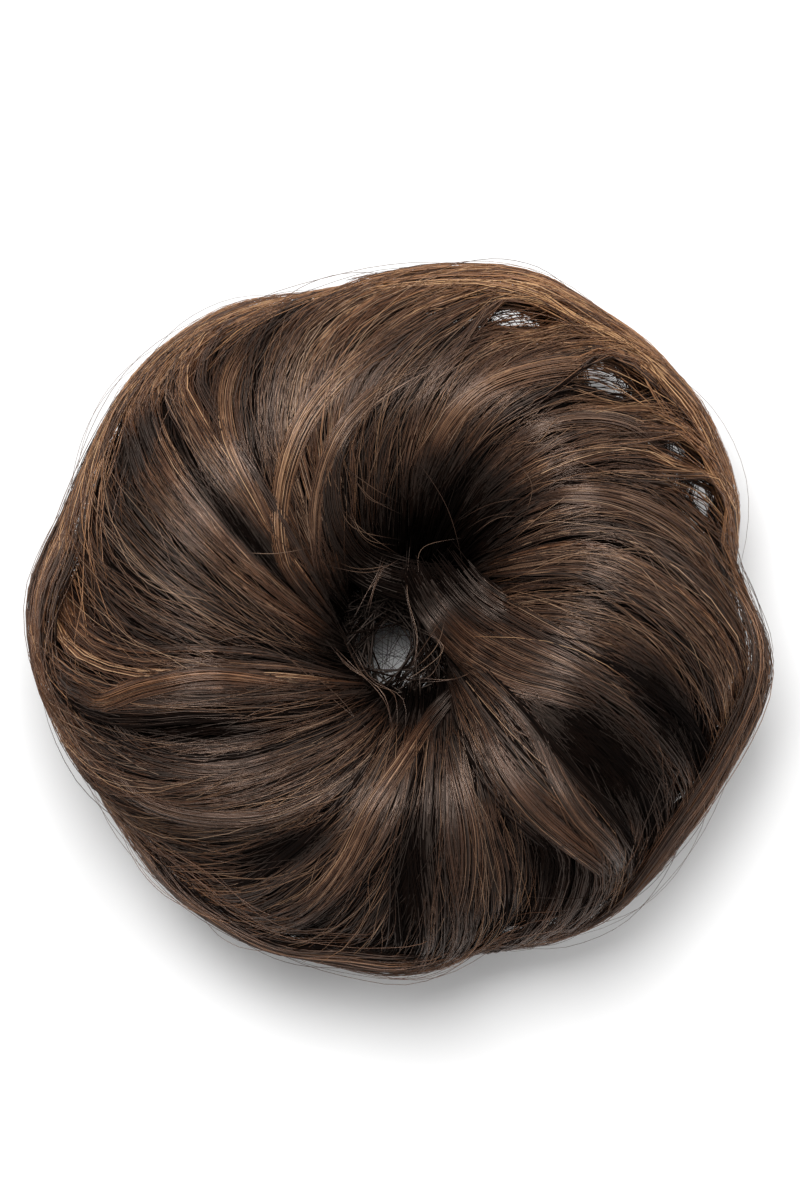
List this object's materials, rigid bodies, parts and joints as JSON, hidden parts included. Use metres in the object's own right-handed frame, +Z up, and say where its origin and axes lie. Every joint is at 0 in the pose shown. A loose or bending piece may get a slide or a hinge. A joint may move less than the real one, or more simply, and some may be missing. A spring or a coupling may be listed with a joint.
{
  "type": "top knot hairpiece",
  "caption": "Ring of curled, swirled hair locks on an elastic band, worn round the wearer's own knot of hair to make a full, loose top knot; shown lying flat.",
  "frame": {"origin": "middle of the hairpiece's outline seen from above, on the surface that its flat underside rests on", "axes": "+Z up, out of the open middle on the side that shows; +X to the right and +Y up the picture"},
  "size_m": [0.1396, 0.1334, 0.0536],
  "materials": {
    "hair": "glossy",
    "under_hair": "satin",
    "rim_hair": "glossy",
    "elastic": "matt"
  },
  "bodies": {
    "root": {"elastic_band": "elastic", "under_hair": "under_hair", "lock_right_middle": "hair", "lock_bottom_broad": "hair", "lock_left_middle": "hair", "lock_upper_right": "hair", "lock_right_upper": "hair", "lock_top_right": "hair", "lock_top_left": "hair", "lock_upper_left": "hair", "lock_left_lower": "hair", "lock_left_golden": "hair", "lock_bottom_left": "hair", "lock_right_lower": "hair", "lock_crossing_outer": "hair", "lock_crossing_inner": "hair", "rim_lock_upper_right": "rim_hair", "rim_lock_lower_right": "rim_hair", "rim_lock_lower_left": "rim_hair", "rim_lock_upper_left": "rim_hair"}
  },
  "joints": []
}
